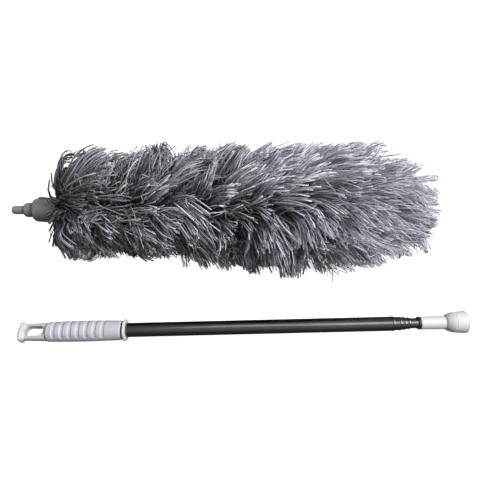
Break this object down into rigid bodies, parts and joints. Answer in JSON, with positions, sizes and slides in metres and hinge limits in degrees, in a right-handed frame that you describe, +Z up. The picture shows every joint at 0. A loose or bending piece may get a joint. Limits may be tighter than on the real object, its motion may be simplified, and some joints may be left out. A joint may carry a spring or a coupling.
{
  "type": "extendable feather duster",
  "caption": "Telescopic steel pole with a grooved grip, hanging loop and flared socket, beside its loose bendable duster head of grey microfibre strips with a stepped plug.",
  "frame": {"origin": "centre of the underside of the bounding box, on the surface that the pole and the head lie on", "axes": "+X along the pole from the hanging loop to the socket, +Y from the pole towards the head, +Z up"},
  "size_m": [0.5972, 0.2479, 0.1536],
  "materials": {
    "white_plastic": "satin",
    "grip_plastic": "satin",
    "smoked_chrome": "polished",
    "dark_rubber": "matte",
    "bush_plastic": "satin",
    "plug_plastic": "satin",
    "core_plastic": "matte",
    "grey_fibre": "matte"
  },
  "bodies": {
    "pole": {"hanging_loop": "white_plastic", "grip_sleeve": "grip_plastic", "collar_ring": "white_plastic", "tube_1": "smoked_chrome"},
    "section_2": {"tube_2": "smoked_chrome", "friction_bush_2": "bush_plastic"},
    "section_3": {"tube_3": "smoked_chrome", "friction_bush_3": "bush_plastic"},
    "section_4": {"tube_4": "smoked_chrome", "friction_bush_4": "bush_plastic"},
    "section_5": {"tube_5": "smoked_chrome", "friction_bush_5": "bush_plastic", "stop_ring": "dark_rubber", "tip_sleeve": "white_plastic", "socket_insert": "white_plastic", "socket_bell": "white_plastic", "bell_rim": "white_plastic"},
    "head_base": {"plug_tip": "plug_plastic", "plug_collar": "plug_plastic", "connector_barrel": "plug_plastic", "core_link_1": "core_plastic", "fluff_1": "grey_fibre"},
    "head_link_2": {"core_link_2": "core_plastic", "fluff_2": "grey_fibre"},
    "head_link_3": {"core_link_3": "core_plastic", "fluff_3": "grey_fibre"},
    "head_link_4": {"core_link_4": "core_plastic", "fluff_4": "grey_fibre", "end_cap": "core_plastic"}
  },
  "joints": [
    {"name": "slide_2", "type": "slide", "parent": "pole", "child": "section_2", "axis": [1, 0, 0], "range_m": [0, 0.4008]},
    {"name": "slide_3", "type": "slide", "parent": "section_2", "child": "section_3", "axis": [1, 0, 0], "range_m": [0, 0.3795]},
    {"name": "slide_4", "type": "slide", "parent": "section_3", "child": "section_4", "axis": [1, 0, 0], "range_m": [0, 0.3547]},
    {"name": "slide_5", "type": "slide", "parent": "section_4", "child": "section_5", "axis": [1, 0, 0], "range_m": [0, 0.3299]},
    {"name": "head_lift", "type": "slide", "parent": "pole", "child": "head_base", "axis": [0, 0, 1], "range_m": [0, 0.25]},
    {"name": "head_bend_1", "type": "hinge", "parent": "head_base", "child": "head_link_2", "pos_m": [-0.12079, 0.04176, 0.064], "axis": [-0.0311, -0.9995, 0], "range_deg": [0, 35], "deforming": ["fluff_1", "fluff_2"]},
    {"name": "head_bend_2", "type": "hinge", "parent": "head_link_2", "child": "head_link_3", "pos_m": [-0.00784, 0.03825, 0.064], "axis": [-0.0311, -0.9995, 0], "range_deg": [0, 35], "deforming": ["fluff_2", "fluff_3"]},
    {"name": "head_bend_3", "type": "hinge", "parent": "head_link_3", "child": "head_link_4", "pos_m": [0.10511, 0.03474, 0.064], "axis": [-0.0311, -0.9995, 0], "range_deg": [0, 35], "deforming": ["fluff_3", "fluff_4"]}
  ]
}
